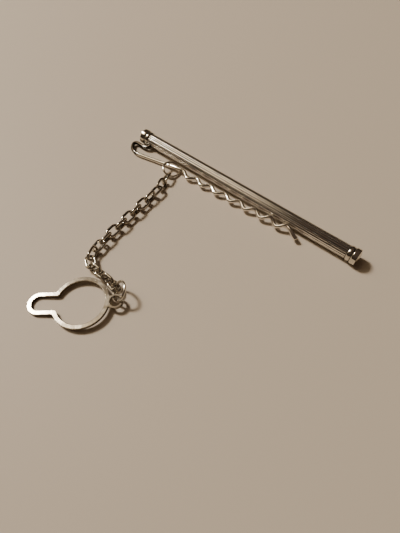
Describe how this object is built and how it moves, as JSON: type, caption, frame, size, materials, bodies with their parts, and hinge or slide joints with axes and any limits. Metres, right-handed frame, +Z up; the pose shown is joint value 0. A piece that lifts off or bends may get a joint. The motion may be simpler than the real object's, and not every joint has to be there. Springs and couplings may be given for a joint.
{
  "type": "tie bar",
  "caption": "Tie bar: a reeded round bar with turned end caps, a waved spring wire that grips the tie, and a fine chain to a flat keyhole loop for a shirt button.",
  "frame": {"origin": "centre of the part's footprint on the table it lies on", "axes": "+X along the bar, from the wire's bend to the other cap; +Y across the table, away from the chain; +Z up"},
  "size_m": [0.064, 0.0538, 0.0039],
  "materials": {
    "bar": "polished silver plate with dark grooves between the reeds",
    "caps": "polished silver plate",
    "wire": "polished silver plate",
    "rings": "polished silver plate",
    "chain": "polished silver plate, a little tarnished between the links",
    "loop": "satin silver plate with fine scratches"
  },
  "bodies": {
    "root": {"bar": "bar", "cap_left": "caps", "cap_right": "caps", "spring_wire": "wire", "wire_ring": "rings", "loop_ring": "rings", "button_loop": "loop", "link_01": "chain", "link_02": "chain", "link_03": "chain", "link_04": "chain", "link_05": "chain", "link_06": "chain", "link_07": "chain", "link_08": "chain", "link_09": "chain", "link_10": "chain", "link_11": "chain", "link_12": "chain", "link_13": "chain", "link_14": "chain", "link_15": "chain", "link_16": "chain", "link_17": "chain"}
  },
  "joints": []
}
